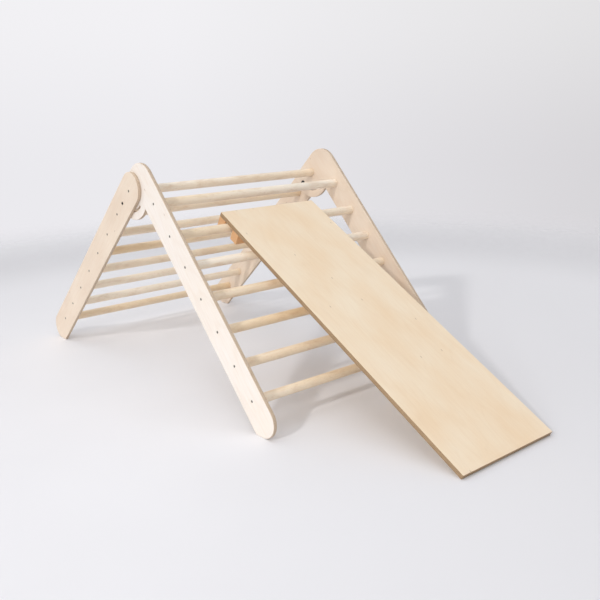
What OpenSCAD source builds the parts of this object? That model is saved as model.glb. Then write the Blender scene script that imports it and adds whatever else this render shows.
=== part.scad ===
// Folding climbing triangle with a slide board hooked on its second rung.
// Two ladders of plywood side panels and round rungs share a hinge rung at
// the top.  +X is the way the slide descends, +Y the left of a child sitting
// on it, +Z is up.  The origin is on the floor, midway along and across.

/* [Overall] */
// Outside width across the front side panels
front_width = 790; // [600:10:950]
// Angle between the front ladder and the floor, degrees
front_angle = 47; // [40:1:56]

/* [Side panels] */
// Thickness of the plywood panels
panel_t = 12; // [10:1:20]
// Width of a panel's leg
leg_w = 110; // [90:1:124]
// Gap between a front panel and the back panel beside it
panel_gap = 1; // [0.5:0.5:3]
// Radius of the rounded outer side of each foot
foot_r = 51; // [30:1:52]

/* [Rungs] */
// Diameter of every rung
rung_d = 30; // [22:1:36]
// Spacing of the rungs along both ladders
rung_pitch = 118; // [90:1:130]
// Spacing between the first and the second rung of both ladders
top_pitch = 128; // [122:1:140]
// From the floor up the front leg to its lowest rung
front_foot = 133; // [110:1:160]
// From the floor up the back leg to its lowest rung
back_foot = 140; // [110:1:170]

/* [Hinge and lock] */
// From the front ladder's first rung up the leg to the hinge rung
hinge_up = 115; // [100:1:125]
// How far the hinge rung lies behind the middle of the front leg
hinge_back = 77; // [76:1:84]
// Radius of the front panel's head behind the hinge rung
head_r = 51; // [48:1:66]
// Radius of the front panel's top corner
crown_r = 82; // [75:1:92]
// Radius of the head's lower edge, round the hinge rung
lobe_r = 96; // [88:1:98]
// Radius of the head's hidden rear corner
lobe_corner_r = 30; // [15:1:32]
// How far the back panel's round top is centred above the hinge rung
back_crown = 12; // [0:1:20]
// Radius from the hinge rung to the lock bolt
lock_r = 66; // [60:1:70]
// Diameter of the lock bolt's shank
bolt_d = 6; // [5:0.5:8]
// Radial room of the lock bolt in its curved slot
slot_clear = 0.5; // [0.3:0.1:1]
// Radial running clearance of the hinge rung in the front panels
hinge_clear = 0.08; // [0.02:0.01:0.1]

/* [Slide] */
// Length of the slide board
board_l = 1170; // [1000:10:1410]
// Width of the slide board
board_w = 395; // [300:5:500]
// Thickness of the slide board
board_t = 15; // [12:1:21]
// Sideways place of the board's middle, towards the left
board_y = 18; // [-40:1:40]
// Width of each hook batten, along the board
batten_w = 34; // [25:1:45]
// Depth of each hook batten below the board
batten_h = 36; // [25:1:45]
// Width of the channel between the battens
hook_w = 46; // [40:1:60]
// Clearance where the board rests on the rung
seat_gap = 0.3; // [0.2:0.1:0.5]

/* [Fasteners] */
// Head diameter of the countersunk wood screws
screw_head_d = 8; // [7:0.5:10]
// Shank diameter of the wood screws
screw_d = 4.5; // [4:0.5:5]
// Length of the screws that hold the rungs
screw_l = 50; // [40:5:60]
// Length of the screws that hold the battens
batten_screw_l = 45; // [40:1:48]
// Head diameter of the lock bolts
bolt_head_d = 10.5; // [9:0.5:16]
// Head height of the lock bolts
bolt_head_h = 3.3; // [3:0.1:5]
// Outer diameter of the lock washers
washer_d = 20; // [16:1:26]
// Thickness of the lock washers
washer_t = 1.6; // [1:0.1:2.5]
// Width across the flats of the lock nuts
nut_af = 10; // [9:1:14]
// Height of the lock nuts
nut_h = 6; // [5:0.5:8]

/* [Hidden] */

front_count = 7;
back_count = 8;
left = 1;
right = -1;
rung_r = rung_d / 2;
screw_clear = 0.05;
bolt_clear = 0.2;
slot_end_clear = 0.3;
head_clear = 0.05;
face_gap = 0.3;
bolt_end = 3;
socket_af = 4;
socket_depth = 2;
round_fn = 96;
small_fn = 48;
corner_steps = 8;

// Heights follow from the front ladder; the back one leans to reach the floor.
front_line = front_foot + (front_count - 2) * rung_pitch + top_pitch + hinge_up;
hinge_z = front_line * sin(front_angle) - hinge_back * cos(front_angle);
back_line = back_foot + (back_count - 2) * rung_pitch + top_pitch;
back_angle = asin(hinge_z / back_line);
fold_angle = 180 - front_angle - back_angle;

// Across the object, from the middle.
front_y = front_width / 2 - panel_t / 2;
back_y = front_y + panel_t + panel_gap;
front_rung_l = front_width - 2 * panel_t;
back_rung_l = 2 * back_y - panel_t;
back_face = back_y + panel_t / 2;
washer_face = front_y - panel_t / 2 - face_gap;
nut_face = washer_face - washer_t;
bolt_l = back_face - nut_face + nut_h + bolt_end;

// Places along a leg are measured down it from the hinge rung, and across it
// outwards from the hinge rung.
function front_s(i) = hinge_up + (i == 1 ? 0 : top_pitch + (i - 2) * rung_pitch);
function back_s(i) = i == 1 ? 0 : top_pitch + (i - 2) * rung_pitch;
function foot_s(angle, n) = (hinge_z + n * cos(angle)) / sin(angle);
function foot_centre_s(angle, n) = (hinge_z + n * cos(angle) - foot_r) / sin(angle);

// The board lies on the second rung and touches the floor with its far edge.
seat = rung_r + seat_gap;
board_over = seat + batten_w;
board_run = board_l - board_over;
rung_2_s = front_s(2);
rung_2_rise = hinge_z - rung_2_s * sin(front_angle) + hinge_back * cos(front_angle);
slide_angle = asin(rung_2_rise / sqrt(board_run * board_run + seat * seat))
    + atan(seat / board_run);

// The origin is midway between the back feet and the board's lower end.
back_foot_n = leg_w / 2 - foot_r;
back_reach = foot_centre_s(back_angle, back_foot_n) * cos(back_angle)
    + back_foot_n * sin(back_angle) + foot_r;
rung_2_x0 = rung_2_s * cos(front_angle) + hinge_back * sin(front_angle);
slide_reach = rung_2_x0 + board_run * cos(slide_angle)
    + (seat + board_t) * sin(slide_angle);
hinge_x = (back_reach - slide_reach) / 2;

// Draws in a front or back panel's own plane, hinge rung at the origin.
module front_plane(y = 0) {
    translate([hinge_x, y, hinge_z]) rotate([90, 0, 0]) rotate(-front_angle) children();
}

module back_plane(y = 0) {
    translate([hinge_x, y, hinge_z]) rotate([90, 0, 0]) mirror([1, 0, 0])
        rotate(-back_angle) children();
}

// Leg outline: straight sides, flat foot on the floor, rounded outer side.
module leg_outline(from_s, middle, angle) {
    centre = [foot_centre_s(angle, middle + leg_w / 2 - foot_r), middle + leg_w / 2 - foot_r];
    polygon([
        [from_s, middle - leg_w / 2],
        [foot_s(angle, middle - leg_w / 2), middle - leg_w / 2],
        centre + foot_r * [sin(angle), -cos(angle)],
        centre,
        [centre[0], middle + leg_w / 2],
        [from_s, middle + leg_w / 2]
    ]);
    translate(centre) circle(r = foot_r, $fn = round_fn);
}

function turned(point, angle) = [
    point[0] * cos(angle) + point[1] * sin(angle),
    point[1] * cos(angle) - point[0] * sin(angle)
];

// Leg, top corner, round head behind the hinge rung, and the lobe that backs
// the lock bolt's path: rounded about the hinge rung, it ends in a rounded
// corner that is hidden behind the back panel.
module front_outline() {
    crown = [crown_r - head_r, hinge_back + leg_w / 2 - crown_r];
    corner_run = sqrt(pow(lobe_r - lobe_corner_r, 2) - pow(head_r - lobe_corner_r, 2));
    corner = [corner_run, lobe_corner_r - head_r];
    corner_end = atan(corner[1] / corner[0]) - 12;
    corner_turns = [for (i = [0 : corner_steps]) -90 + i * (90 + corner_end) / corner_steps];
    corner_points = [for (a = corner_turns) corner + lobe_corner_r * [cos(a), sin(a)]];
    past_lobe = corner_points[corner_steps] + lobe_corner_r * [-sin(corner_end), cos(corner_end)];
    leg_outline(crown[0], hinge_back, front_angle);
    circle(r = head_r, $fn = round_fn);
    translate(crown) circle(r = crown_r, $fn = round_fn);
    intersection() {
        circle(r = lobe_r, $fn = round_fn);
        polygon(concat(
            [for (point = concat(corner_points, [past_lobe])) turned(point, fold_angle)],
            [[2 * lobe_r, -2 * lobe_r], [2 * lobe_r, crown[1]], [-head_r, crown[1]]]
        ));
    }
}

// Curved slot that the lock bolt runs in as the back ladder folds.
module slot_outline() {
    slot_r = bolt_d / 2 + slot_clear;
    far = 2 * lobe_r;
    intersection() {
        difference() {
            circle(r = lock_r + slot_r, $fn = round_fn);
            circle(r = lock_r - slot_r, $fn = round_fn);
        }
        polygon([
            [0, 0],
            far * [cos(fold_angle), -sin(fold_angle)],
            far * [cos(fold_angle / 2), -sin(fold_angle / 2)],
            [far, 0]
        ]);
    }
    for (turn = [0, fold_angle])
        rotate(-turn) translate([lock_r, 0]) circle(r = slot_r + slot_end_clear, $fn = small_fn);
}

// Countersunk wood screw lying along +Z below z = 0, or the hole for it.
module screw_shape(length, clear = 0) {
    head_r = screw_head_d / 2 + clear;
    shank_r = screw_d / 2 + clear;
    cone_h = head_r - shank_r;
    rotate_extrude($fn = small_fn) polygon([
        [0, clear],
        [head_r, clear],
        [head_r, -0.4],
        [shank_r, -0.4 - cone_h],
        [shank_r, -length + screw_d],
        [0.4, -length - clear],
        [0, -length - clear]
    ]);
}

module wood_screw(length) {
    difference() {
        screw_shape(length);
        for (turn = [0, 90])
            rotate(turn) translate([0, 0, -0.5]) cube([4.2, 0.9, 2.4], center = true);
    }
}

// Holds children at both ends of a rung, heads outwards, faces at face_y.
module at_rung_ends(face_y) {
    for (side = [left, right])
        translate([0, 0, -side * face_y]) rotate([0, side == left ? 180 : 0, 0]) children();
}

module rung(length, s, n) {
    difference() {
        translate([s, n, 0]) cylinder(h = length, r = rung_r, center = true, $fn = round_fn);
        translate([s, n, 0]) at_rung_ends(length / 2 + panel_t)
            screw_shape(screw_l, screw_clear);
    }
}

module front_panel(side) {
    difference() {
        front_plane(side * front_y) linear_extrude(panel_t, center = true) difference() {
            front_outline();
            circle(r = rung_r + hinge_clear, $fn = round_fn);
            slot_outline();
        }
        front_plane() for (i = [1 : front_count])
            translate([front_s(i), hinge_back, 0]) at_rung_ends(front_width / 2)
                screw_shape(screw_l, screw_clear);
    }
}

module back_panel(side) {
    difference() {
        back_plane(side * back_y) linear_extrude(panel_t, center = true) difference() {
            union() {
                leg_outline(-back_crown, 0, back_angle);
                translate([-back_crown, 0]) circle(r = leg_w / 2, $fn = round_fn);
            }
            translate([lock_r, 0]) circle(r = bolt_d / 2 + bolt_clear, $fn = small_fn);
        }
        back_plane() for (i = [1 : back_count])
            translate([back_s(i), 0, 0]) at_rung_ends(back_face)
                screw_shape(screw_l, screw_clear);
    }
}

module front_rung(i) {
    front_plane() rung(front_rung_l, front_s(i), hinge_back);
}

module back_rung(i) {
    back_plane() rung(back_rung_l, back_s(i), 0);
}

module front_rung_screws() {
    color("#8c8880") front_plane() for (i = [1 : front_count])
        translate([front_s(i), hinge_back, 0]) at_rung_ends(front_width / 2)
            wood_screw(screw_l);
}

module back_rung_screws() {
    color("#8c8880") back_plane() for (i = [1 : back_count])
        translate([back_s(i), 0, 0]) at_rung_ends(back_face) wood_screw(screw_l);
}

// Button-head bolt along -Z, underside of the head at z = 0.
module lock_bolt(side) {
    dome_r = (pow(bolt_head_d / 2, 2) + pow(bolt_head_h, 2)) / (2 * bolt_head_h);
    color("#1d1c1b") back_plane() translate([lock_r, 0, -side * (back_face + head_clear)])
        rotate([0, side == left ? 180 : 0, 0]) difference() {
            union() {
                translate([0, 0, -bolt_l])
                    cylinder(h = bolt_l + 1, r = bolt_d / 2, $fn = small_fn);
                intersection() {
                    translate([0, 0, bolt_head_h - dome_r]) sphere(r = dome_r, $fn = round_fn);
                    cylinder(h = 2 * bolt_head_h, r = bolt_head_d, $fn = small_fn);
                }
            }
            translate([0, 0, bolt_head_h - socket_depth])
                cylinder(h = socket_depth + 1, d = socket_af / cos(30), $fn = 6);
        }
}

module lock_washers() {
    color("#262524") back_plane() for (side = [left, right])
        translate([lock_r, 0, -side * (washer_face - washer_t / 2)]) difference() {
            cylinder(h = washer_t, d = washer_d, center = true, $fn = round_fn);
            cylinder(h = 2 * washer_t, r = bolt_d / 2 + bolt_clear, center = true,
                $fn = small_fn);
        }
}

module lock_nuts() {
    color("#1d1c1b") back_plane() for (side = [left, right])
        translate([lock_r, 0, -side * (nut_face - nut_h / 2)]) difference() {
            cylinder(h = nut_h, d = nut_af / cos(30), center = true, $fn = 6);
            cylinder(h = 2 * nut_h, r = bolt_d / 2 + screw_clear, center = true,
                $fn = small_fn);
        }
}

// Draws along the board: x down the slope from the rung, z out of the board.
module slide_plane() {
    rung_2_x = hinge_x + rung_2_x0;
    translate([rung_2_x, board_y, rung_2_rise]) rotate([0, slide_angle, 0]) children();
}

module batten_screw_places() {
    for (x = [-seat - batten_w / 2, hook_w - seat + batten_w / 2])
        for (k = [-1 : 1])
            translate([x, k * board_w * 0.38, seat - batten_h]) rotate([180, 0, 0]) children();
}

module slide_board() {
    color("#efd9bc") slide_plane() difference() {
        translate([-board_over, -board_w / 2, seat]) cube([board_l, board_w, board_t]);
        batten_screw_places() screw_shape(batten_screw_l, screw_clear);
    }
}

module hook_batten(from_x) {
    color("#d8a878") slide_plane() difference() {
        translate([from_x, -board_w / 2, seat - batten_h]) cube([batten_w, board_w, batten_h]);
        batten_screw_places() screw_shape(batten_screw_l, screw_clear);
    }
}

module batten_screws() {
    color("#8c8880") slide_plane() batten_screw_places() wood_screw(batten_screw_l);
}

ply = "#f6e9dc";
beech = "#f3e2c9";

color(ply) front_panel(left);  // front_panel_left
color(ply) front_panel(right);  // front_panel_right
for (i = [1 : front_count])
    color(beech) front_rung(i);
front_rung_screws();
color(ply) back_panel(left);  // back_panel_left
color(ply) back_panel(right);  // back_panel_right
color(beech) back_rung(1);  // hinge_rung
for (i = [2 : back_count])
    color(beech) back_rung(i);
back_rung_screws();
lock_bolt(left);  // lock_bolt_left
lock_bolt(right);  // lock_bolt_right
lock_washers();
lock_nuts();
slide_board();
hook_batten(-board_over);  // hook_batten_upper
hook_batten(hook_w - seat);  // hook_batten_lower
batten_screws();
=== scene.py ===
"""Folding climbing triangle with a hook-on slide board.

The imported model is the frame.  Every size that places a piece is read from
it, and the groups below hold the finer sizes and the colours of the finish.
"""

import math

import bmesh
import bpy
from mathutils import Matrix, Vector


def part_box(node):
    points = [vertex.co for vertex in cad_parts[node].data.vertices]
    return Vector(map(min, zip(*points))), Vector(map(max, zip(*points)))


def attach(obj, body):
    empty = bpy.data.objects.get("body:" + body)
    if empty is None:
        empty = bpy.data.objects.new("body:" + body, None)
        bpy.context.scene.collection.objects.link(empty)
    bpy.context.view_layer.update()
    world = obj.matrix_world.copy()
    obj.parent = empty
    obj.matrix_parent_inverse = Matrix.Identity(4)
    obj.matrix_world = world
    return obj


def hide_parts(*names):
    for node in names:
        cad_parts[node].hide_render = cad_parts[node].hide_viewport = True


bl_info = {
    "name": "Climbing Triangle with Slide",
    "version": (1, 0, 0),
    "blender": (4, 5, 0),
    "location": "3D View > Sidebar > Triangle",
    "description": "Dresses a folding climbing triangle and its slide board",
    "category": "Add Mesh",
}

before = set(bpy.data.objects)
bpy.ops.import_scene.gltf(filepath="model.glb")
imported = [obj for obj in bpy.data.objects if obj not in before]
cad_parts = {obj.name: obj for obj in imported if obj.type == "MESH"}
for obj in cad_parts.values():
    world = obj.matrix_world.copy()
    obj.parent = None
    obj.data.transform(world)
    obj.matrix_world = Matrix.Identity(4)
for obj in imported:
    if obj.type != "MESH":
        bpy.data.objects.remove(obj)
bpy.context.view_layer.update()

MM = 0.001
# Points closer than this are one point.
MERGE = 0.002 * MM
WOOD_IOR = 1.5
SIDES = ("left", "right")
FRONT_RUNGS = [f"front_rung_{i}" for i in range(1, 8)]
BACK_RUNGS = ["hinge_rung"] + [f"back_rung_{i}" for i in range(2, 9)]
LADDERS = {"front": FRONT_RUNGS, "back": BACK_RUNGS}

# The studio's dimmer side, towards which the floor and the shown surround are painted darker as
# shade, and the surround's bright and shaded colours.
DIM_SIDE = (0.639, 0.769, 0)
WALL_FOOT = ("#EBEAEE", "#D6D4D7")
WALL_TOP = ("#F2F1F4", "#E2E1E2")
WALL_LIGHT = "#F4F5FA"
WALL_STRENGTH = 0.52
FLOOR_RADIUS = 4.4
FLOOR_DEPTH = 0.01
KEY_PLACE, KEY_TARGET = Vector((0.985, -2.675, 1.5)), Vector((0.1, 0, 0.2))
KEY_WIDTH, KEY_POWER = 0.28, 8
# Each sun's name, the way towards it, its spread in degrees and its strength.
SUNS = (
    ("key", (0.39, -1.65, 1), 4, 0.85),
    ("second", (0.9, -0.55, 0.65), 18, 0.45),
    ("fill", (-0.8, -0.6, 0.7), 80, 0.75),
    ("overhead", (0, 0, 1), 50, 0.55),
)
# A metre up, in front of the slide and to the right; the angles in degrees.
CAMERA = {
    "place": (2.09116, -1.62919, 0.94551),
    "azimuth": 50.29,
    "elevation": 14.63,
    "roll": -1.30,
    "lens": 47.02,
}


# ---- the frame


def middle(node):
    """The middle of a CAD node's box."""
    low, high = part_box(node)
    return (low + high) / 2


def across_y(node):
    """Middle and thickness of a CAD node across the object."""
    low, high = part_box(node)
    return (low.y + high.y) / 2, high.y - low.y


def layout(origin, along, out):
    """Matrix of a flat layout: its x runs along, its y runs out."""
    turn = Matrix((along, out, along.cross(out))).transposed().to_4x4()
    return Matrix.Translation(origin) @ turn


HINGE = middle("hinge_rung")
FRONT_DOWN = (middle("front_rung_7") - middle("front_rung_2")).normalized()
FRONT_OUT = Vector((-FRONT_DOWN.z, 0, FRONT_DOWN.x))
BACK_DOWN = (middle("back_rung_8") - HINGE).normalized()
BACK_OUT = Vector((BACK_DOWN.z, 0, -BACK_DOWN.x))
SLIDE_DOWN = (middle("hook_batten_lower") - middle("hook_batten_upper")).normalized()
SLIDE_OUT = Vector((-SLIDE_DOWN.z, 0, SLIDE_DOWN.x))

FRONT_LEAN = math.degrees(math.atan2(-FRONT_DOWN.z, FRONT_DOWN.x))
BACK_LEAN = math.degrees(math.atan2(-BACK_DOWN.z, -BACK_DOWN.x))
SLIDE_LEAN = math.degrees(math.atan2(-SLIDE_DOWN.z, SLIDE_DOWN.x))
FOLD = 180 - FRONT_LEAN - BACK_LEAN


def on_ladder(point, down, out):
    """A point's place down a ladder and out from it, from the hinge rung."""
    away = point - HINGE
    return away.dot(down), away.dot(out)


def on_slide(node):
    """A CAD node's reach down the slide, and out from it."""
    points = [v.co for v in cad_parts[node].data.vertices]
    along = [point.dot(SLIDE_DOWN) for point in points]
    up = [point.dot(SLIDE_OUT) for point in points]
    return min(along), max(along), min(up), max(up)


# ---- settings


def linear(hex_colour):
    """Scene-linear colour of an sRGB hex value."""
    channels = [int(hex_colour[i : i + 2], 16) / 255 for i in (1, 3, 5)]
    return [c / 12.92 if c <= 0.04045 else ((c + 0.055) / 1.055) ** 2.4 for c in channels]


def size(name, description, millimetres):
    return bpy.props.FloatProperty(
        name=name,
        description=description,
        default=millimetres * MM,
        min=0,
        precision=5,
        subtype="DISTANCE",
        unit="LENGTH",
    )


def colour(name, description, hex_colour):
    return bpy.props.FloatVectorProperty(
        name=name,
        description=description,
        default=linear(hex_colour),
        min=0,
        max=1,
        size=3,
        subtype="COLOR",
    )


class LadderSizes(bpy.types.PropertyGroup):
    leg_width: size("Leg width", "Width of each side panel's leg", 110)
    foot_radius: size("Foot radius", "Rounding of each foot", 51)
    head_radius: size("Head radius", "Front head behind the hinge rung", 51)
    crown_radius: size("Crown radius", "Top corner of the front head", 82)
    lobe_radius: size("Lobe radius", "Underside of the front head, about the hinge", 96)
    lobe_corner: size("Lobe corner", "Rear corner of the front head", 30)
    back_crown: size("Back crown", "Top arc's centre above the hinge rung", 12)
    slot_radius: size("Slot radius", "Half the width of the lock bolt's slot", 3.5)
    hinge_clearance: size("Hinge clearance", "Gap round the hinge rung", 0.08)
    panel_ease: size("Panel edge", "Rounding of the side panels' edges", 1.6)
    rung_ease: size("Rung edge", "Rounding of the rungs' ends", 1.2)
    panel_ply: size("Panel ply", "Thickness of one ply in a side panel", 1.333)


class SlideSizes(bpy.types.PropertyGroup):
    corner: size("Board corner", "Rounding of the board's corners, from above", 2)
    board_ease: size("Board edge", "Rounding of the board's edges", 1.0)
    batten_ease: size("Batten edge", "Rounding of the hook battens' edges", 1.5)
    board_ply: size("Board ply", "Thickness of one ply in the board", 1.3636)


class FixingSizes(bpy.types.PropertyGroup):
    screw_head: size("Screw head", "Diameter of a countersunk head", 8)
    screw_shank: size("Screw shank", "Diameter of a screw's shank", 4.5)
    screw_sink: size("Screw sink", "How far a head lies below the surface", 0.3)
    rung_screw: size("Rung screw", "Length of a rung's screw", 50)
    batten_screw: size("Batten screw", "Length of a batten's screw", 45)
    bolt_head: size("Bolt head", "Diameter of a lock bolt's domed head", 10.5)
    bolt_shank: size("Bolt shank", "Diameter of a lock bolt", 6)
    bolt_clearance: size("Bolt clearance", "How much wider its holes are", 0.4)
    bolt_socket: size("Bolt socket", "Width of the key's socket across flats", 4)
    nut_width: size("Nut width", "Lock nut across flats", 10)


class Finish(bpy.types.PropertyGroup):
    # The four panels are one birch. Their tones are partly its own and partly painted light: the
    # front right panel, lit most, is painted whitest.
    birch_lit_white: colour("Birch, white", "Lightest veneer, front right panel", "#F2EBE4")
    birch_cream: colour("Birch, cream", "Middle veneer, all side panels", "#EEDFCC")
    birch_tan: colour("Birch, tan", "Warmest veneer, all but front right", "#E0CCB7")
    birch_grain: colour("Birch grain", "Late wood in the birch veneer", "#D3B08C")
    ply_light: colour("Ply, light", "Plies cut along the grain", "#E6D5C0")
    ply_dark: colour("Ply, dark", "Plies that show their end grain", "#C2A98D")
    ply_glue: colour("Ply glue", "Glue lines between the plies", "#7E6653")
    board_pale: colour("Board, pale", "Lightest veneer on the slide", "#F4E3C9")
    board_warm: colour("Board, warm", "Warmest veneer on the slide", "#F0D7B6")
    board_grain: colour("Board grain", "Grain in the slide's veneer", "#D3B087")
    # Painted shade: the board's ply edges are darker than the panels' because they lie in shade.
    board_ply_shaded_light: colour("Board ply, light", "Plies cut along the grain", "#BFA27C")
    board_ply_shaded_dark: colour("Board ply, dark", "Plies that show end grain", "#8F7252")
    beech_pale: colour("Beech, pale", "Lightest rungs", "#FCF2E2")
    beech_tan: colour("Beech, tan", "Darkest rungs", "#ECD3AF")
    beech_fleck: colour("Beech fleck", "Rays and heartwood in the beech", "#C4976A")
    pine_early: colour("Pine, early wood", "Battens between the rings", "#E3B687")
    pine_late: colour("Pine, late wood", "Battens' growth rings", "#B97C48")
    screw_steel: colour("Screw steel", "Dulled zinc on the screws", "#5A544E")
    bolt_steel: colour("Bolt steel", "Blackened lock bolts", "#121110")
    paper: colour("Floor", "Studio floor", "#E9E8EA")


# ---- materials


def add_node(tree, kind, inputs=None, **settings):
    """A new node with its settings; its inputs are values or linked sockets."""
    made = tree.nodes.new(kind)
    for name, value in settings.items():
        setattr(made, name, value)
    for name, value in (inputs or {}).items():
        if isinstance(value, bpy.types.NodeSocket):
            tree.links.new(value, made.inputs[name])
        else:
            made.inputs[name].default_value = value
    return made


def new_material(name):
    """A node material, its tree and its Principled shader."""
    material = bpy.data.materials.new(name)
    material.use_nodes = True
    tree = material.node_tree
    shader = tree.nodes["Principled BSDF"]
    return material, tree, shader


def rgba(value):
    return (*value, 1.0)


def laid_over(tree, base, tint, pattern, start, full, strength=1.0):
    """Colour socket with a tint over the base: none where the pattern is at
    start, and as much as its strength where the pattern is at full."""
    amount = add_node(tree, "ShaderNodeMapRange", {0: pattern, 1: start, 2: full, 4: strength})
    layer = add_node(
        tree,
        "ShaderNodeMix",
        {0: amount.outputs[0], 6: base, 7: rgba(tint)},
        data_type="RGBA",
    )
    return layer.outputs[2]


def spotted(tree, vector, spots, detail=2.0, roughness=0.5, distortion=0.0):
    """Noise whose spots are that many millimetres long each way."""
    scale = [1 / (length * MM) for length in spots]
    place = add_node(tree, "ShaderNodeMapping", {"Vector": vector, "Scale": scale})
    noise = add_node(
        tree,
        "ShaderNodeTexNoise",
        {
            "Vector": place.outputs[0],
            "Scale": 1.0,
            "Detail": detail,
            "Roughness": roughness,
            "Distortion": distortion,
        },
    )
    return noise.outputs[0]


def grain_space(tree, turn, shift=(0, 0, 0)):
    """Object coordinates turned so that x runs down the grain."""
    place = add_node(tree, "ShaderNodeTexCoord")
    turned = add_node(
        tree,
        "ShaderNodeMapping",
        {"Vector": place.outputs["Object"], "Location": shift, "Rotation": turn},
    )
    return turned.outputs[0]


def wood_surface(tree, shader, tone, grain, strength, height):
    """A wood's colour, and its grain standing up that many millimetres."""
    tree.links.new(tone, shader.inputs["Base Color"])
    bump = add_node(
        tree,
        "ShaderNodeBump",
        {"Strength": strength, "Distance": height * MM, "Height": grain},
    )
    tree.links.new(bump.outputs[0], shader.inputs["Normal"])
    shader.inputs["IOR"].default_value = WOOD_IOR


def uneven_sheen(tree, shader, pattern, smooth, rough):
    """Roughness that runs from smooth to rough with a pattern."""
    sheen = add_node(
        tree, "ShaderNodeMapRange", {0: pattern, 1: 0.3, 2: 0.7, 3: smooth, 4: rough}
    )
    tree.links.new(sheen.outputs[0], shader.inputs["Roughness"])


def pin_knots(tree, place, across):
    """Pin knots and bark flecks, about 9 mm by 3 mm, in one out of eight
    patches of sheet that are 130 mm by 36 mm."""
    axes = add_node(tree, "ShaderNodeSeparateXYZ", {0: place}).outputs
    flat = add_node(tree, "ShaderNodeCombineXYZ", {0: axes[0], 1: axes[across]})
    patches = add_node(
        tree,
        "ShaderNodeMapping",
        {"Vector": flat.outputs[0], "Scale": (1 / (130 * MM), 1 / (36 * MM), 1)},
    )
    cells = add_node(
        tree,
        "ShaderNodeTexVoronoi",
        {"Vector": patches.outputs[0], "Scale": 1.0},
        voronoi_dimensions="2D",
    ).outputs
    chance = add_node(tree, "ShaderNodeSeparateColor", {0: cells["Color"]}).outputs[0]
    knot = add_node(tree, "ShaderNodeMapRange", {0: cells["Distance"], 1: 0.045, 2: 0.02})
    chosen = add_node(tree, "ShaderNodeMapRange", {0: chance, 1: 0.125, 2: 0.120})
    both = add_node(
        tree, "ShaderNodeMath", {0: knot.outputs[0], 1: chosen.outputs[0]}, operation="MULTIPLY"
    )
    return both.outputs[0]


def peeled_veneer(name, turn, across, shift, pale, warm, grain, depth, rough):
    """Birch veneer peeled from the log, sanded and oiled: pale, nearly even,
    with slow contour figure along the grain, short pores and a few flecks.
    Across is the axis that runs across the grain in the sheet, and depth is
    how strongly the grain shows."""
    material, tree, shader = new_material(name)
    place = grain_space(tree, turn, shift)
    # Clouds 200 mm by 111 mm, where the tone drifts from pink to yellow.
    cloud = spotted(tree, place, (200, 111, 111), 3)
    # Contour lines of a smooth field give the peeled log's open figure, 12 of
    # them between the field's ends.
    field = spotted(tree, place, (588, 111, 111), 1.5, 0.4, 0.3)
    swing = add_node(tree, "ShaderNodeMath", {0: field, 1: 75.0}, operation="MULTIPLY")
    figure = add_node(tree, "ShaderNodeMath", {0: swing.outputs[0]}, operation="SINE")
    # Pores are 0.2 mm wide on the real face: drawn 4 mm wide so they show.
    pores = spotted(tree, place, (71, 4.2, 4.2), 5, 0.65)
    knots = pin_knots(tree, place, across)
    base = laid_over(tree, rgba(pale), warm, cloud, 0.3, 0.7)
    base = laid_over(tree, base, grain, pores, 0.42, 0.72, depth)
    base = laid_over(tree, base, grain, figure.outputs[0], 0.55, 1.0, depth * 0.4)
    base = laid_over(tree, base, [channel * 0.55 for channel in grain], knots, 0, 1, 0.7)
    wood_surface(tree, shader, base, pores, 0.25, 0.2)
    uneven_sheen(tree, shader, pores, rough - 0.05, rough + 0.08)
    return material


def ply_edge(name, turn, start, ply, light, dark, glue):
    """Sanded edge of birch plywood: bands one ply thick, end grain darker than long grain, a thin
    brown glue line between them, and small voids painted dark as the shade inside them.
    After the turn, z runs through the sheet, from its face at start."""
    material, tree, shader = new_material(name)
    place = grain_space(tree, turn)
    plies = add_node(
        tree,
        "ShaderNodeMapping",
        {"Vector": place, "Location": (0, 0, -start / ply), "Scale": (1, 1, 1 / ply)},
    )
    count = add_node(tree, "ShaderNodeSeparateXYZ", {0: plies.outputs[0]}).outputs[2]
    whole = add_node(tree, "ShaderNodeMath", {0: count}, operation="FLOOR")
    end_grain = add_node(
        tree, "ShaderNodeMath", {0: whole.outputs[0], 1: 2.0}, operation="FLOORED_MODULO"
    )
    from_glue = add_node(tree, "ShaderNodeMath", {0: count, 1: 0.5}, operation="PINGPONG")
    # Fibre ends about 1 mm across, stains 40 mm long, and voids 17 mm long and about one ply
    # high, whose darkness is painted shade.
    fibre = spotted(tree, place, (1.4, 1.4, 1.1), 3, 0.7)
    stain = spotted(tree, place, (40, 40, 16.7), 2)
    shaded_voids = spotted(tree, place, (16.7, 16.7, 1.4), 1)
    base = laid_over(tree, rgba(light), dark, end_grain.outputs[0], 0, 1)
    base = laid_over(tree, base, dark, stain, 0.35, 0.7, 0.3)
    base = laid_over(tree, base, glue, fibre, 0.5, 0.75, 0.35)
    base = laid_over(tree, base, glue, from_glue.outputs[0], 0.10, 0.02)
    base = laid_over(tree, base, [channel * 0.4 for channel in glue], shaded_voids, 0.74, 0.78, 0.8)
    wood_surface(tree, shader, base, fibre, 0.4, 0.3)
    shader.inputs["Roughness"].default_value = 0.62
    return material


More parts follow.
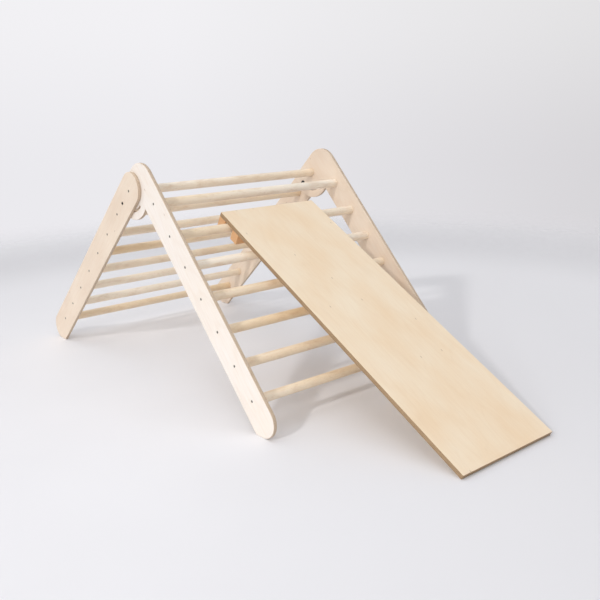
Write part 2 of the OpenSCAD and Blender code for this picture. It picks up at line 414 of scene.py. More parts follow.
def sanded_beech(name, pale, tan, fleck):
    """Beech dowel, sanded along its length and oiled: straight fine grain,
    short darker rays, and a tone of its own for each rung."""
    material, tree, shader = new_material(name)
    place = add_node(tree, "ShaderNodeTexCoord").outputs["Object"]
    # One tone for each rung: the field hardly changes along y.
    tone = spotted(tree, place, (111, 1400, 111), 1)
    streak = spotted(tree, place, (5, 160, 5), 4, 0.6, 0.2)
    # Redder heartwood runs in and out of a rung over a hand's breadth.
    heart = spotted(tree, place, (26, 80, 26), 3, 0.6, 0.4)
    # Beech rays, 0.5 mm by 3 mm on the real dowel, drawn 2 mm by 12 mm.
    rays = spotted(tree, place, (2, 12, 2), 1.5)
    base = laid_over(tree, rgba(pale), tan, tone, 0.34, 0.68)
    base = laid_over(tree, base, fleck, heart, 0.50, 0.72, 0.34)
    base = laid_over(tree, base, tan, streak, 0.42, 0.75, 0.34)
    base = laid_over(tree, base, fleck, rays, 0.62, 0.74, 0.35)
    wood_surface(tree, shader, base, streak, 0.3, 0.2)
    uneven_sheen(tree, shader, streak, 0.42, 0.54)
    return material


def planed_pine(name, pith, early, late):
    """Planed pine batten: rings about the pith, so the ends show arcs and the
    sides show long lines, honey coloured with darker late wood."""
    material, tree, shader = new_material(name)
    place = grain_space(tree, (0, 0, 0), pith)
    long_way = add_node(
        tree, "ShaderNodeMapping", {"Vector": place, "Scale": (1, 0.08, 1)}
    ).outputs[0]
    # The wave's rings are a tenth of pi apart at a scale of 1.
    ring = 3.49 * MM
    rings = add_node(
        tree,
        "ShaderNodeTexWave",
        {
            "Vector": long_way,
            "Scale": math.pi / 10 / ring,
            "Distortion": 1.2,
            "Detail": 2.0,
            "Detail Scale": 0.6,
        },
        wave_type="RINGS",
        rings_direction="Y",
        wave_profile="SAW",
    )
    fibre = spotted(tree, place, (2.4, 111, 2.4), 4, 0.6)
    base = laid_over(tree, rgba(early), late, rings.outputs["Fac"], 0.35, 1.0, 0.75)
    base = laid_over(tree, base, late, fibre, 0.45, 0.8, 0.4)
    wood_surface(tree, shader, base, fibre, 0.3, 0.2)
    shader.inputs["Roughness"].default_value = 0.55
    return material


def handled_steel(name, base, rough, metal):
    """Small steel fixing, plated or blackened, dulled by handling."""
    material, tree, shader = new_material(name)
    place = add_node(tree, "ShaderNodeTexCoord").outputs["Object"]
    # Smudges about 2 mm across, finer than the fixing itself.
    smudge = spotted(tree, place, (2, 2, 2), 3, 0.6)
    worn = [min(1.0, channel * 1.6 + 0.02) for channel in base]
    tone = laid_over(tree, rgba(base), worn, smudge, 0.45, 0.75, 0.5)
    tree.links.new(tone, shader.inputs["Base Color"])
    uneven_sheen(tree, shader, smudge, rough - 0.08, rough + 0.1)
    shader.inputs["Metallic"].default_value = metal
    return material


def studio_paper(name, base):
    """Matt studio paper: barely uneven, and painted darker as shade to one side and far away,
    where it fades into the surround."""
    material, tree, shader = new_material(name)
    place = add_node(tree, "ShaderNodeTexCoord").outputs["Object"]
    uneven = spotted(tree, place, (500, 500, 500), 2)
    side = add_node(
        tree, "ShaderNodeVectorMath", {0: place, 1: DIM_SIDE}, operation="DOT_PRODUCT"
    ).outputs["Value"]
    reach = add_node(
        tree, "ShaderNodeVectorMath", {0: place}, operation="LENGTH"
    ).outputs["Value"]
    painted_dim = [channel * 0.90 for channel in base]
    tone = laid_over(tree, rgba(base), [channel * 0.98 for channel in base], uneven, 0.3, 0.7)
    # Painted shade: darker towards the dim side and with distance.
    tone = laid_over(tree, tone, painted_dim, side, -0.3, 1.2)
    tone = laid_over(tree, tone, painted_dim, reach, 1.0, 2.6)
    tree.links.new(tone, shader.inputs["Base Color"])
    fade = add_node(
        tree,
        "ShaderNodeMapRange",
        {0: reach, 1: 1.8, 2: 4.2, 3: 1.0, 4: 0.0},
        interpolation_type="SMOOTHSTEP",
    )
    tree.links.new(fade.outputs[0], shader.inputs["Alpha"])
    shader.inputs["Roughness"].default_value = 0.9
    shader.inputs["Specular IOR Level"].default_value = 0.1
    return material


# ---- shapes


def arc(centre, radius, start, end, step=3.0):
    """Points along an arc, from start to end in degrees, both included."""
    count = max(2, math.ceil(abs(end - start) / step))
    turns = [math.radians(start + (end - start) * i / count) for i in range(count + 1)]
    return [
        (centre[0] + radius * math.cos(t), centre[1] + radius * math.sin(t)) for t in turns
    ]


def foot_arc(lean, out, radius):
    """Outer rounding of a foot, from the floor to the leg's outer side."""
    slope = math.radians(lean)
    down = (HINGE.z + out * math.cos(slope) - radius) / math.sin(slope)
    return arc((down, out), radius, lean - 90, 90)


def heel(lean, out):
    """Where a leg's inner side meets the floor."""
    slope = math.radians(lean)
    return ((HINGE.z + out * math.cos(slope)) / math.sin(slope), out)


def front_outline(sizes):
    """Front side panel, counter-clockwise, from the hinge rung's middle."""
    rung_out = on_ladder(middle("front_rung_4"), FRONT_DOWN, FRONT_OUT)[1]
    inner, outer = rung_out - sizes.leg_width / 2, rung_out + sizes.leg_width / 2
    crown = (sizes.crown_radius - sizes.head_radius, outer - sizes.crown_radius)
    lobe, small = sizes.lobe_radius, sizes.lobe_corner
    drop = small - sizes.head_radius
    run = math.sqrt((lobe - small) ** 2 - drop**2)
    tangent = math.degrees(math.atan2(drop, run))
    turn = math.radians(-FOLD)
    corner = (
        run * math.cos(turn) - drop * math.sin(turn),
        run * math.sin(turn) + drop * math.cos(turn),
    )
    return (
        [heel(FRONT_LEAN, inner)]
        + foot_arc(FRONT_LEAN, outer - sizes.foot_radius, sizes.foot_radius)
        + arc(crown, sizes.crown_radius, 90, 180)
        + arc(corner, small, -90 - FOLD, tangent - FOLD)
        + arc((0, 0), lobe, tangent - FOLD, math.degrees(math.asin(inner / lobe)))[1:]
    )


def back_outline(sizes):
    """Back side panel, counter-clockwise, from the hinge rung's middle."""
    half = sizes.leg_width / 2
    return (
        [heel(BACK_LEAN, -half)]
        + foot_arc(BACK_LEAN, half - sizes.foot_radius, sizes.foot_radius)
        + arc((-sizes.back_crown, 0), half, 90, 270)
    )


def slot_outline(sizes):
    """Curved slot that the lock bolt runs in."""
    reach = on_ladder(middle("lock_bolt_left"), BACK_DOWN, BACK_OUT)[0]
    half = sizes.slot_radius
    turn = math.radians(-FOLD)
    far_end = (reach * math.cos(turn), reach * math.sin(turn))
    return (
        arc((0, 0), reach + half, -FOLD, 0)
        + arc((reach, 0), half, 0, 180, 12)[1:]
        + arc((0, 0), reach - half, 0, -FOLD)[1:]
        + arc(far_end, half, 180 - FOLD, 360 - FOLD, 12)[1:-1]
    )


def rounded_box(left, right, low, high, radius):
    """Rectangle with rounded corners, counter-clockwise."""
    return (
        arc((right - radius, low + radius), radius, -90, 0, 15)
        + arc((right - radius, high - radius), radius, 0, 90, 15)
        + arc((left + radius, high - radius), radius, 90, 180, 15)
        + arc((left + radius, low + radius), radius, 180, 270, 15)
    )


def link(name, data):
    """Puts an object in the scene."""
    made = bpy.data.objects.new(name, data)
    bpy.context.scene.collection.objects.link(made)
    return made


def settled(piece):
    """Replaces a piece by the plain mesh that its modifiers give."""
    graph = bpy.context.evaluated_depsgraph_get()
    mesh = bpy.data.meshes.new_from_object(piece.evaluated_get(graph))
    name, old = piece.name, piece.data
    bpy.data.objects.remove(piece)
    if old.users == 0 and isinstance(old, bpy.types.Curve):
        bpy.data.curves.remove(old)
    mesh.name = name
    return link(name, mesh)


def cleaned(piece):
    """Merges doubles and turns the faces outward."""
    shape = bmesh.new()
    shape.from_mesh(piece.data)
    bmesh.ops.remove_doubles(shape, verts=shape.verts, dist=MERGE)
    bmesh.ops.dissolve_degenerate(shape, edges=shape.edges, dist=MERGE / 2)
    bmesh.ops.recalc_face_normals(shape, faces=shape.faces)
    shape.to_mesh(piece.data)
    shape.free()
    return piece


def sheet(name, outlines, thickness, ease, matrix):
    """Flat piece cut from a sheet, its edges eased all round."""
    curve = bpy.data.curves.new(name, "CURVE")
    curve.dimensions = "2D"
    curve.fill_mode = "BOTH"
    curve.extrude = thickness / 2 - ease
    curve.bevel_depth = ease
    curve.offset = -ease
    curve.bevel_resolution = 2
    for outline in outlines:
        line = curve.splines.new("POLY")
        line.points.add(len(outline) - 1)
        line.points.foreach_set("co", [c for x, y in outline for c in (x, y, 0, 1)])
        line.use_cyclic_u = True
    piece = settled(link(name, curve))
    piece.data.transform(matrix)
    return cleaned(piece)


def mirrored(profile):
    """A turned piece's outline from its lower half."""
    return profile + [(radius, -height) for radius, height in reversed(profile)]


def turned(name, profile, steps=48):
    """Turned piece about z, from (radius, height) points on its outline."""
    verts, rows = [], []
    for radius, height in profile:
        if radius == 0:
            rows.append([len(verts)] * steps)
            verts.append((0, 0, height))
            continue
        rows.append(list(range(len(verts), len(verts) + steps)))
        for i in range(steps):
            t = 2 * math.pi * i / steps
            verts.append((radius * math.cos(t), radius * math.sin(t), height))
    faces = []
    for low, high in zip(rows, rows[1:]):
        for i in range(steps):
            j = (i + 1) % steps
            face = [low[i], low[j], high[j], high[i]]
            faces.append(list(dict.fromkeys(face)))
    mesh = bpy.data.meshes.new(name)
    mesh.from_pydata(verts, [], faces)
    return cleaned(link(name, mesh))


def prism(name, outline, low, high):
    """Upright prism on an outline."""
    shape = bmesh.new()
    base = shape.faces.new([shape.verts.new((x, y, low)) for x, y in outline])
    grown = bmesh.ops.extrude_face_region(shape, geom=[base])["geom"]
    top = [v for v in grown if isinstance(v, bmesh.types.BMVert)]
    bmesh.ops.translate(shape, verts=top, vec=(0, 0, high - low))
    mesh = bpy.data.meshes.new(name)
    shape.to_mesh(mesh)
    shape.free()
    return cleaned(link(name, mesh))


def hexagon(width):
    """Hexagon that wide across its flats."""
    return arc((0, 0), width / math.sqrt(3), 0, 300, 60)


def cut(piece, cutter, operation="DIFFERENCE"):
    """Cuts one piece with another, which is used up."""
    change = piece.modifiers.new("Cut", "BOOLEAN")
    change.object = cutter
    change.operation = operation
    change.solver = "EXACT"
    result = settled(piece)
    bpy.data.objects.remove(cutter)
    return result


def shaded(piece, flat_along=None, sharp=40):
    """Smooth shading that keeps corners sharp and flat faces flat."""
    mesh = piece.data
    mesh.polygons.foreach_set("use_smooth", [True] * len(mesh.polygons))
    mesh.set_sharp_from_angle(angle=math.radians(sharp))
    if flat_along is not None:
        for face in mesh.polygons:
            if abs(face.normal.dot(flat_along)) > math.cos(math.radians(2.5)):
                face.use_smooth = False
    return piece


def veneered(piece, normal, face, edge):
    """Veneer on a sheet's faces and on what is within 22 degrees of them, and
    plies on its edges."""
    piece.data.materials.clear()
    piece.data.materials.append(face)
    piece.data.materials.append(edge)
    for polygon in piece.data.polygons:
        on_face = abs(polygon.normal.dot(normal)) > math.cos(math.radians(21.6))
        polygon.material_index = 0 if on_face else 1
    return shaded(piece, normal)


def placed_on(piece, body, slot, *nodes):
    """Hangs a piece on the body it rides on and hides the CAD nodes it stands for; the slot is
    not used.
    """
    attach(piece, body)
    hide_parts(*nodes)


# ---- repeated parts


def fitting_tree():
    """Node group that sets a fitting on each point of a mesh."""
    tree = bpy.data.node_groups.new("Fittings on points", "GeometryNodeTree")
    for name, kind in (("Points", "Geometry"), ("Fitting", "Object"), ("Material", "Material")):
        tree.interface.new_socket(name, in_out="INPUT", socket_type="NodeSocket" + kind)
    tree.interface.new_socket("Geometry", in_out="OUTPUT", socket_type="NodeSocketGeometry")
    given = add_node(tree, "NodeGroupInput").outputs
    fitting = add_node(tree, "GeometryNodeObjectInfo", {"Object": given["Fitting"]})
    outward = add_node(
        tree, "GeometryNodeInputNamedAttribute", {"Name": "outward"}, data_type="FLOAT_VECTOR"
    )
    spin = add_node(
        tree, "GeometryNodeInputNamedAttribute", {"Name": "spin"}, data_type="FLOAT"
    )
    about_z = add_node(
        tree, "FunctionNodeAxisAngleToRotation", {"Axis": (0, 0, 1), "Angle": spin.outputs[0]}
    )
    aligned = add_node(
        tree, "FunctionNodeAlignRotationToVector", {"Vector": outward.outputs[0]}, axis="Z"
    )
    facing = add_node(
        tree,
        "FunctionNodeRotateRotation",
        {"Rotation": aligned.outputs[0], "Rotate By": about_z.outputs[0]},
        rotation_space="LOCAL",
    )
    rows = add_node(
        tree,
        "GeometryNodeInstanceOnPoints",
        {
            "Points": given["Points"],
            "Instance": fitting.outputs["Geometry"],
            "Rotation": facing.outputs[0],
        },
    )
    real = add_node(tree, "GeometryNodeRealizeInstances", {"Geometry": rows.outputs[0]})
    painted = add_node(
        tree,
        "GeometryNodeSetMaterial",
        {"Geometry": real.outputs[0], "Material": given["Material"]},
    )
    add_node(tree, "NodeGroupOutput", {"Geometry": painted.outputs[0]})
    return tree


def fittings(name, fitting, places, material):
    """One piece with a fitting at each place: a point, the way it faces and
    how far it is turned about that."""
    mesh = bpy.data.meshes.new(name)
    mesh.from_pydata([point for point, _, _ in places], [], [])
    outward = mesh.attributes.new("outward", "FLOAT_VECTOR", "POINT")
    outward.data.foreach_set("vector", [c for _, way, _ in places for c in way])
    spin = mesh.attributes.new("spin", "FLOAT", "POINT")
    spin.data.foreach_set("value", [turn for _, _, turn in places])
    points = link(name, mesh)
    tree = bpy.data.node_groups.get("Fittings on points") or fitting_tree()
    rows = points.modifiers.new("Rows", "NODES")
    rows.node_group = tree
    sockets = {s.name: s.identifier for s in tree.interface.items_tree if s.in_out == "INPUT"}
    rows[sockets["Fitting"]] = fitting
    rows[sockets["Material"]] = material
    piece = settled(points)
    bpy.data.objects.remove(fitting)
    return shaded(piece)


def screw(sizes, length):
    """Countersunk cross-head screw, its head's face at z = 0."""
    head, shank = sizes.screw_head / 2, sizes.screw_shank / 2
    rim, tip = 0.4 * MM, 4 * MM
    pitch, depth = 2.2 * MM, 0.75 * MM
    # A third of the shank is plain, before the thread starts.
    height = -length * 0.35
    profile = [(0, 0), (head - 0.25 * MM, 0), (head, -0.15 * MM), (head, -rim)]
    profile += [(shank, -rim - head + shank), (shank, height)]
    while height - pitch > tip + MM - length:
        profile += [(shank - depth, height - pitch * 0.35), (shank, height - pitch)]
        height -= pitch
    profile += [(shank - depth, tip - length), (0, -length)]
    piece = turned("screw", profile, 32)
    arm, slit, recess = 2.1 * MM, 0.45 * MM, 1.7 * MM
    for x, y in ((arm, slit), (slit, arm)):
        outline = [(x, -y), (x, y), (-x, y), (-x, -y)]
        piece = cut(piece, prism("recess", outline, -recess, MM))
    return piece


def sinks(name, places, sizes):
    """Cutters for countersunk heads: each a cone and a pilot hole."""
    clear, rim, bore = 0.12 * MM, 0.7 * MM, 9 * MM
    head, shank = sizes.screw_head / 2, sizes.screw_shank / 2
    profile = [
        (0, MM),
        (head + clear, MM),
        (head + clear, -rim),
        (shank + clear, -rim - head + shank),
        (shank + clear, -bore),
        (0, -bore),
    ]
    return fittings(name, turned("sink", profile, 40), places, None)


# ---- operators


class TRIANGLE_OT_side_panels(bpy.types.Operator):
    """Cut and veneer the four plywood side panels"""

    bl_idname = "triangle.side_panels"
    bl_label = "Side Panels"

    def execute(self, context):
        scene = context.scene
        sizes, fixing = scene.triangle_ladder, scene.triangle_fixing
        finish = scene.triangle_finish
        low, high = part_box("hinge_rung")
        hinge_hole = (high.z - low.z) / 2 + sizes.hinge_clearance
        bolt_hole = (fixing.bolt_shank + fixing.bolt_clearance) / 2
        reach = on_ladder(middle("lock_bolt_left"), BACK_DOWN, BACK_OUT)[0]
        front = [front_outline(sizes), arc((0, 0), hinge_hole, 0, 354, 6), slot_outline(sizes)]
        back = [back_outline(sizes), arc((reach, 0), bolt_hole, 0, 350, 10)]
        ladders = (
            ("front", FRONT_DOWN, FRONT_OUT, FRONT_RUNGS, front, -FRONT_LEAN, 0.3),
            ("back", BACK_DOWN, BACK_OUT, BACK_RUNGS, back, 180 + BACK_LEAN, 1.1),
        )
        tones = self.tones(finish)
        for ladder, down, out, rungs, outlines, turn, shift in ladders:
            for side, way in zip(SIDES, (1, -1)):
                node = f"{ladder}_panel_{side}"
                mid, thick = across_y(node)
                matrix = layout(Vector((HINGE.x, mid, HINGE.z)), down, out)
                piece = sheet(node + "_ply", outlines, thick, sizes.panel_ease, matrix)
                places = []
                for rung in rungs:
                    point = middle(rung)
                    point.y = mid + way * thick / 2
                    places.append((point, (0, way, 0), 0.0))
                piece = cut(piece, sinks("sinks", places, fixing))
                # The tones are partly painted light: the front right panel, lit most, is whitest.
                pale, warm = tones[ladder, side]
                # The shift gives each panel its own stretch of veneer.
                face = peeled_veneer(
                    f"Oiled birch veneer, {ladder} {side}",
                    turn=(0, math.radians(turn), 0),
                    across=2,
                    shift=(0.7 * way, 0, shift),
                    pale=pale,
                    warm=warm,
                    grain=finish.birch_grain,
                    depth=0.17,
                    rough=0.5,
                )
                edge = ply_edge(
                    f"Sanded birch ply edge, {ladder} {side}",
                    turn=(math.radians(90), 0, 0),
                    start=mid - thick / 2,
                    ply=sizes.panel_ply,
                    light=finish.ply_light,
                    dark=finish.ply_dark,
                    glue=finish.ply_glue,
                )
                veneered(piece, Vector((0, 1, 0)), face, edge)
                placed_on(piece, f"{ladder}_ladder", "birch_plywood", node)
        return {"FINISHED"}

    @staticmethod
    def tones(finish):
        """Each panel's palest and warmest veneer, partly the birch's own tone and partly painted
        light: the front right panel, lit most, is whitest.
        """
        white, cream, tan = (
            Vector(c) for c in (finish.birch_lit_white, finish.birch_cream, finish.birch_tan)
        )
        return {
            ("front", "right"): (white, white.lerp(cream, 0.55)),
            ("front", "left"): (cream.lerp(tan, 0.35), tan),
            ("back", "right"): (cream.lerp(tan, 0.3), cream.lerp(tan, 0.9)),
            ("back", "left"): (cream.lerp(tan, 0.3), tan),
        }


class TRIANGLE_OT_rungs(bpy.types.Operator):
    """Turn the beech rungs of both ladders"""

    bl_idname = "triangle.rungs"
    bl_label = "Rungs"

    def execute(self, context):
        sizes, finish = context.scene.triangle_ladder, context.scene.triangle_finish
        beech = sanded_beech(
            "Oiled beech dowel", finish.beech_pale, finish.beech_tan, finish.beech_fleck
        )
        for ladder, rungs in LADDERS.items():
            low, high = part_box(rungs[0])
            radius, half, ease = (high.z - low.z) / 2, (high.y - low.y) / 2, sizes.rung_ease
            start = [(0, -half)] + [
                (radius - ease + ease * math.sin(t), -half + ease - ease * math.cos(t))
                for t in (0, math.pi / 6, math.pi / 3, math.pi / 2)
            ]
            places = [(middle(node), (0, 1, 0), 0.0) for node in rungs]
            dowel = turned("dowel", mirrored(start), 64)
            piece = fittings(f"{ladder}_rungs", dowel, places, beech)
            placed_on(piece, f"{ladder}_ladder", "beech", *rungs)
        return {"FINISHED"}


class TRIANGLE_OT_rung_screws(bpy.types.Operator):
    """Drive the countersunk screws into the rungs"""

    bl_idname = "triangle.rung_screws"
    bl_label = "Rung Screws"

    def execute(self, context):
        sizes, finish = context.scene.triangle_fixing, context.scene.triangle_finish
        steel = handled_steel("Dulled zinc-plated steel", finish.screw_steel, 0.45, 1.0)
        for ladder, rungs in LADDERS.items():
            node = f"{ladder}_rung_screws"
            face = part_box(f"{ladder}_panel_left")[1].y - sizes.screw_sink
            places = []
            for number, rung in enumerate(rungs):
                for way in (-1, 1):
                    point = middle(rung)
                    point.y = way * face
                    # No two screws in a row stop at the same angle.
                    places.append((point, (0, way, 0), 1.9 * number + way))
            length = sizes.rung_screw - 2 * sizes.screw_sink
            piece = fittings(node + "_cross", screw(sizes, length), places, steel)
            placed_on(piece, f"{ladder}_ladder", "zinc_plated_steel", node)
        return {"FINISHED"}


class TRIANGLE_OT_lock_bolts(bpy.types.Operator):
    """Fit the two lock bolts with their washers and nuts"""

    bl_idname = "triangle.lock_bolts"
    bl_label = "Lock Bolts"

    # Air left under a bolt's head and round its thread.
    GAP = 0.05 * MM

    def execute(self, context):
        sizes, finish = context.scene.triangle_fixing, context.scene.triangle_finish
        black = handled_steel("Blackened steel", finish.bolt_steel, 0.5, 0.3)
        back_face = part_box("back_panel_left")[1].y
        for side, way in zip(SIDES, (1, -1)):
            node = f"lock_bolt_{side}"
            low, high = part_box(node)
            length = high.y - low.y
            head_h = (high.y if side == "left" else -low.y) - back_face
            point = middle(node)
            point.y = way * (back_face + self.GAP)
            places = [(point, (0, way, 0), 0.4)]
            bolt = self.bolt(sizes, length, head_h)
            piece = fittings(f"{node}_domed", bolt, places, black)
            placed_on(piece, node, "black_steel", node)
        for node, shape in (("lock_washers", self.washer), ("lock_nuts", self.nut)):
            low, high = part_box(node)
            depth = self.depth(node)
            places = []
            for way in (-1, 1):
                point = middle(node)
                point.y = way * (high.y - depth / 2)
                places.append((point, (0, -way, 0), 0.3 * way))
            piece = fittings(f"{node}_set", shape(sizes, high.z - low.z, depth), places, black)
            placed_on(piece, "back_ladder", "black_steel", node)
        return {"FINISHED"}

    @staticmethod
    def depth(node):
        """Thickness of one of a pair of fixings on the two sides."""
        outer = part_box(node)[1].y
        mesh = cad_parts[node].data
        return outer - min(v.co.y for v in mesh.vertices if v.co.y > 0)

    @classmethod
    def bolt(cls, sizes, length, head_h):
        """Domed bolt with a key socket and a threaded end."""
        head, shank = sizes.bolt_head / 2, sizes.bolt_shank / 2
        rise = head_h - cls.GAP
        dome = (head**2 + rise**2) / (2 * rise)
        spread = math.asin(min(1.0, head / dome))
        turns = [spread * i / 8 for i in range(1, 9)]
        profile = [(0, rise)] + [
            (dome * math.sin(t), rise - dome * (1 - math.cos(t))) for t in turns
        ]
        profile += [(head - 0.3 * MM, 0), (shank, 0)]
        end = head_h - length - cls.GAP
        # The thread starts 10 mm down, past the panels.
        height, pitch, depth = -10 * MM, 1.0 * MM, 0.45 * MM
        while height - pitch > end + 0.5 * MM:
            profile += [(shank, height), (shank - depth, height - pitch / 2)]
            height -= pitch
        profile += [(shank - 0.2 * MM, height), (shank - 0.6 * MM, end), (0, end)]
        socket = prism("socket", hexagon(sizes.bolt_socket), rise - 2 * MM, rise + MM)
        return cut(turned("bolt", profile, 40), socket)

    @staticmethod
    def washer(sizes, width, depth):
        """Stamped washer with rounded rims."""
        outer, half, ease = width / 2, depth / 2, 0.3 * MM
        inner = (sizes.bolt_shank + sizes.bolt_clearance) / 2
        rims = [
            (inner, -half + ease),
            (inner + ease, -half),
            (outer - ease, -half),
            (outer, -half + ease),
        ]
        return turned("washer", mirrored(rims) + rims[:1], 64)

    @classmethod
    def nut(cls, sizes, _width, depth):
        """Hexagon lock nut with chamfered corners and a nylon collar."""
        flats, half = sizes.nut_width, depth / 2
        corner = flats / math.sqrt(3) * 1.02
        collar = flats / 2 - 0.3 * MM
        profile = [
            (0, -half),
            (flats / 2, -half),
            (corner, -half + 0.9 * MM),
            (corner, half - 2.0 * MM),
            (collar, half - 1.2 * MM),
            (collar, half - 0.3 * MM),
            (collar - 0.5 * MM, half),
            (0, half),
        ]
        low, high = -half - MM, half + MM
        bore = sizes.bolt_shank / 2 + cls.GAP
        hole = turned("hole", [(0, low), (bore, low), (bore, high), (0, high)], 40)
        blank = prism("hexagon", hexagon(flats), low, high)
        return cut(cut(turned("nut", profile, 60), blank, "INTERSECT"), hole)


class TRIANGLE_OT_slide_board(bpy.types.Operator):
    """Cut and veneer the slide board"""

    bl_idname = "triangle.slide_board"
    bl_label = "Slide Board"

    def execute(self, context):
        sizes, finish = context.scene.triangle_slide, context.scene.triangle_finish
        top, bottom, under, face_out = on_slide("slide_board")
        low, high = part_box("slide_board")
        thick = face_out - under
        matrix = layout(SLIDE_OUT * (face_out - thick / 2), SLIDE_DOWN, Vector((0, 1, 0)))
        outline = rounded_box(top, bottom, low.y, high.y, sizes.corner)
        piece = sheet("slide_board_ply", [outline], thick, sizes.board_ease, matrix)
        turn = math.radians(-SLIDE_LEAN)
        face = peeled_veneer(
            "Oiled birch veneer, slide",
            turn=(0, turn, 0),
            across=1,
            shift=(0.2, 0.4, 0.1),
            pale=finish.board_pale,
            warm=finish.board_warm,
            grain=finish.board_grain,
            depth=0.12,
            rough=0.46,
        )
        # The board's plies are painted darker as shade, because its edges lie in shade.
        edge = ply_edge(
            "Sanded birch ply edge, slide",
            turn=(0, turn, 0),
            start=under,
            ply=sizes.board_ply,
            light=finish.board_ply_shaded_light,
            dark=finish.board_ply_shaded_dark,
            glue=finish.ply_glue,
        )
        veneered(piece, SLIDE_OUT, face, edge)
        placed_on(piece, "slide", "board_plywood", "slide_board")
        return {"FINISHED"}


class TRIANGLE_OT_hook_battens(bpy.types.Operator):
    """Plane the two hook battens and screw them to the board"""

    bl_idname = "triangle.hook_battens"
    bl_label = "Hook Battens"

    def execute(self, context):
        scene = context.scene
        sizes, fixing = scene.triangle_slide, scene.triangle_fixing
        finish = scene.triangle_finish
        # A shift that brings the pith to about 65 mm from either batten.
        pith = (0.05, 0, -0.46)
        pine = planed_pine("Planed pine", pith, finish.pine_early, finish.pine_late)
        steel = handled_steel("Dulled zinc, battens", finish.screw_steel, 0.45, 1.0)
        places = []
        for node in ("hook_batten_upper", "hook_batten_lower"):
            top, bottom, under, face_out = on_slide(node)
            mid, width = across_y(node)
            outline = rounded_box(top, bottom, under, face_out, sizes.batten_ease)
            matrix = layout(Vector((0, mid, 0)), SLIDE_DOWN, SLIDE_OUT)
            piece = sheet(node + "_pine", [outline], width, sizes.batten_ease, matrix)
            own = []
            for step in (-0.38, 0, 0.38):
                point = SLIDE_DOWN * (top + bottom) / 2 + SLIDE_OUT * under
                point.y = mid + step * width
                own.append((point, -SLIDE_OUT, 0.0))
                sunk = point + SLIDE_OUT * fixing.screw_sink
                places.append((sunk, -SLIDE_OUT, 5 * step))
            piece = cut(piece, sinks("sinks", own, fixing))
            piece.data.materials.clear()
            piece.data.materials.append(pine)
            shaded(piece)
            placed_on(piece, "slide", "pine", node)
        length = fixing.batten_screw - 2 * fixing.screw_sink
        piece = fittings("batten_screws_cross", screw(fixing, length), places, steel)
        placed_on(piece, "slide", "zinc_plated_steel", "batten_screws")
        return {"FINISHED"}


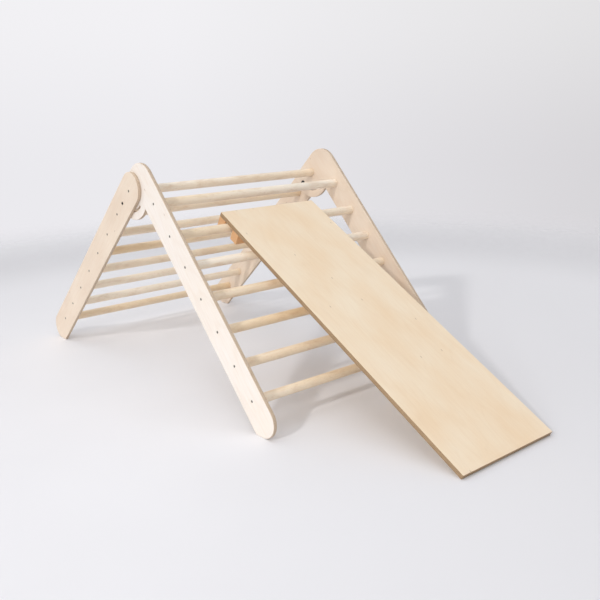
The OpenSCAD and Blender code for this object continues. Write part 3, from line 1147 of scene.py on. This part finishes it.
class TRIANGLE_OT_stage(bpy.types.Operator):
    """Set the pale floor, the soft lights and the camera"""

    bl_idname = "triangle.stage"
    bl_label = "Stage"

    def execute(self, context):
        scene = context.scene
        outline = [(0, 0), (FLOOR_RADIUS, 0), (FLOOR_RADIUS, -FLOOR_DEPTH), (0, -FLOOR_DEPTH)]
        disc = turned("floor", outline, 96)
        disc.data.materials.append(studio_paper("Matt studio paper", scene.triangle_finish.paper))
        self.world(scene)
        aim = KEY_PLACE - KEY_TARGET
        lamp = self.light("AREA", "key lamp", aim, KEY_POWER, shape="DISK", size=KEY_WIDTH)
        lamp.location = KEY_PLACE
        for name, towards, spread, power in SUNS:
            self.light("SUN", name, towards, power, angle=math.radians(spread))
        self.camera(scene, **CAMERA)
        scene.view_settings.view_transform = "Standard"
        return {"FINISHED"}

    @staticmethod
    def world(scene):
        """Pale surround: even as light, and shown as a studio cove with painted shade that makes
        it dimmer to one side and where it meets the floor."""
        world = bpy.data.worlds.new("Studio surround")
        world.use_nodes = True
        tree = world.node_tree
        tree.nodes.clear()
        way = add_node(tree, "ShaderNodeTexCoord").outputs["Generated"]
        height = add_node(tree, "ShaderNodeSeparateXYZ", {0: way}).outputs[2]
        side = add_node(
            tree, "ShaderNodeVectorMath", {0: way, 1: DIM_SIDE}, operation="DOT_PRODUCT"
        ).outputs["Value"]
        # The shown cove's painted shade: dimmer to one side, and darker at its foot.
        foot, top = (
            laid_over(tree, rgba(linear(bright)), linear(painted_dim), side, -0.15, 0.42)
            for bright, painted_dim in (WALL_FOOT, WALL_TOP)
        )
        rise = add_node(
            tree,
            "ShaderNodeMapRange",
            {0: height, 1: -0.1, 2: 0.12},
            interpolation_type="SMOOTHSTEP",
        )
        cove = add_node(
            tree, "ShaderNodeMix", {0: rise.outputs[0], 6: foot, 7: top}, data_type="RGBA"
        )
        light = add_node(
            tree,
            "ShaderNodeBackground",
            {"Color": rgba(linear(WALL_LIGHT)), "Strength": WALL_STRENGTH},
        )
        shown = add_node(tree, "ShaderNodeBackground", {"Color": cove.outputs[2]})
        seen = add_node(tree, "ShaderNodeLightPath").outputs["Is Camera Ray"]
        both = add_node(
            tree, "ShaderNodeMixShader", {0: seen, 1: light.outputs[0], 2: shown.outputs[0]}
        )
        add_node(tree, "ShaderNodeOutputWorld", {"Surface": both.outputs[0]})
        scene.world = world

    @staticmethod
    def light(kind, name, towards, power, **settings):
        """Light that shines from the way it is given."""
        data = bpy.data.lights.new(name, kind)
        data.energy = power
        for key, value in settings.items():
            setattr(data, key, value)
        made = link(name, data)
        made.rotation_euler = Vector(towards).to_track_quat("Z", "Y").to_euler()
        return made

    @staticmethod
    def camera(scene, place, azimuth, elevation, roll, lens):
        """Camera turned about z, tipped down by its elevation and rolled."""
        data = bpy.data.cameras.new("camera")
        data.lens = lens
        data.sensor_width = 36
        azimuth, elevation, roll = (math.radians(a) for a in (azimuth, elevation, roll))
        camera = link("camera", data)
        camera.matrix_world = (
            Matrix.Translation(place)
            @ Matrix.Rotation(azimuth, 4, "Z")
            @ Matrix.Rotation(math.pi / 2 - elevation, 4, "X")
            @ Matrix.Rotation(roll, 4, "Z")
        )
        scene.camera = camera


class TRIANGLE_PT_sidebar(bpy.types.Panel):
    """Sizes, finish and pieces of the climbing triangle"""

    bl_label = "Climbing Triangle"
    bl_idname = "TRIANGLE_PT_sidebar"
    bl_space_type = "VIEW_3D"
    bl_region_type = "UI"
    bl_category = "Triangle"

    def draw(self, context):
        for name in SETTINGS:
            group = getattr(context.scene, name)
            box = self.layout.box()
            box.label(text=type(group).__name__)
            for key in group.bl_rna.properties.keys():
                if key not in ("rna_type", "name"):
                    box.prop(group, key)
        for operator in OPERATORS:
            self.layout.operator(operator.bl_idname)


SETTINGS = {
    "triangle_ladder": LadderSizes,
    "triangle_slide": SlideSizes,
    "triangle_fixing": FixingSizes,
    "triangle_finish": Finish,
}
OPERATORS = (
    TRIANGLE_OT_stage,
    TRIANGLE_OT_side_panels,
    TRIANGLE_OT_rungs,
    TRIANGLE_OT_rung_screws,
    TRIANGLE_OT_lock_bolts,
    TRIANGLE_OT_slide_board,
    TRIANGLE_OT_hook_battens,
)


def register():
    for group in SETTINGS.values():
        bpy.utils.register_class(group)
    for cls in (*OPERATORS, TRIANGLE_PT_sidebar):
        bpy.utils.register_class(cls)
    for name, group in SETTINGS.items():
        setattr(bpy.types.Scene, name, bpy.props.PointerProperty(type=group))


def unregister():
    for name in SETTINGS:
        delattr(bpy.types.Scene, name)
    for cls in (TRIANGLE_PT_sidebar, *reversed(OPERATORS)):
        bpy.utils.unregister_class(cls)
    for group in SETTINGS.values():
        bpy.utils.unregister_class(group)


def main():
    register()
    for operator in OPERATORS:
        category, name = operator.bl_idname.split(".")
        getattr(getattr(bpy.ops, category), name)()


if __name__ == "__main__":
    main()
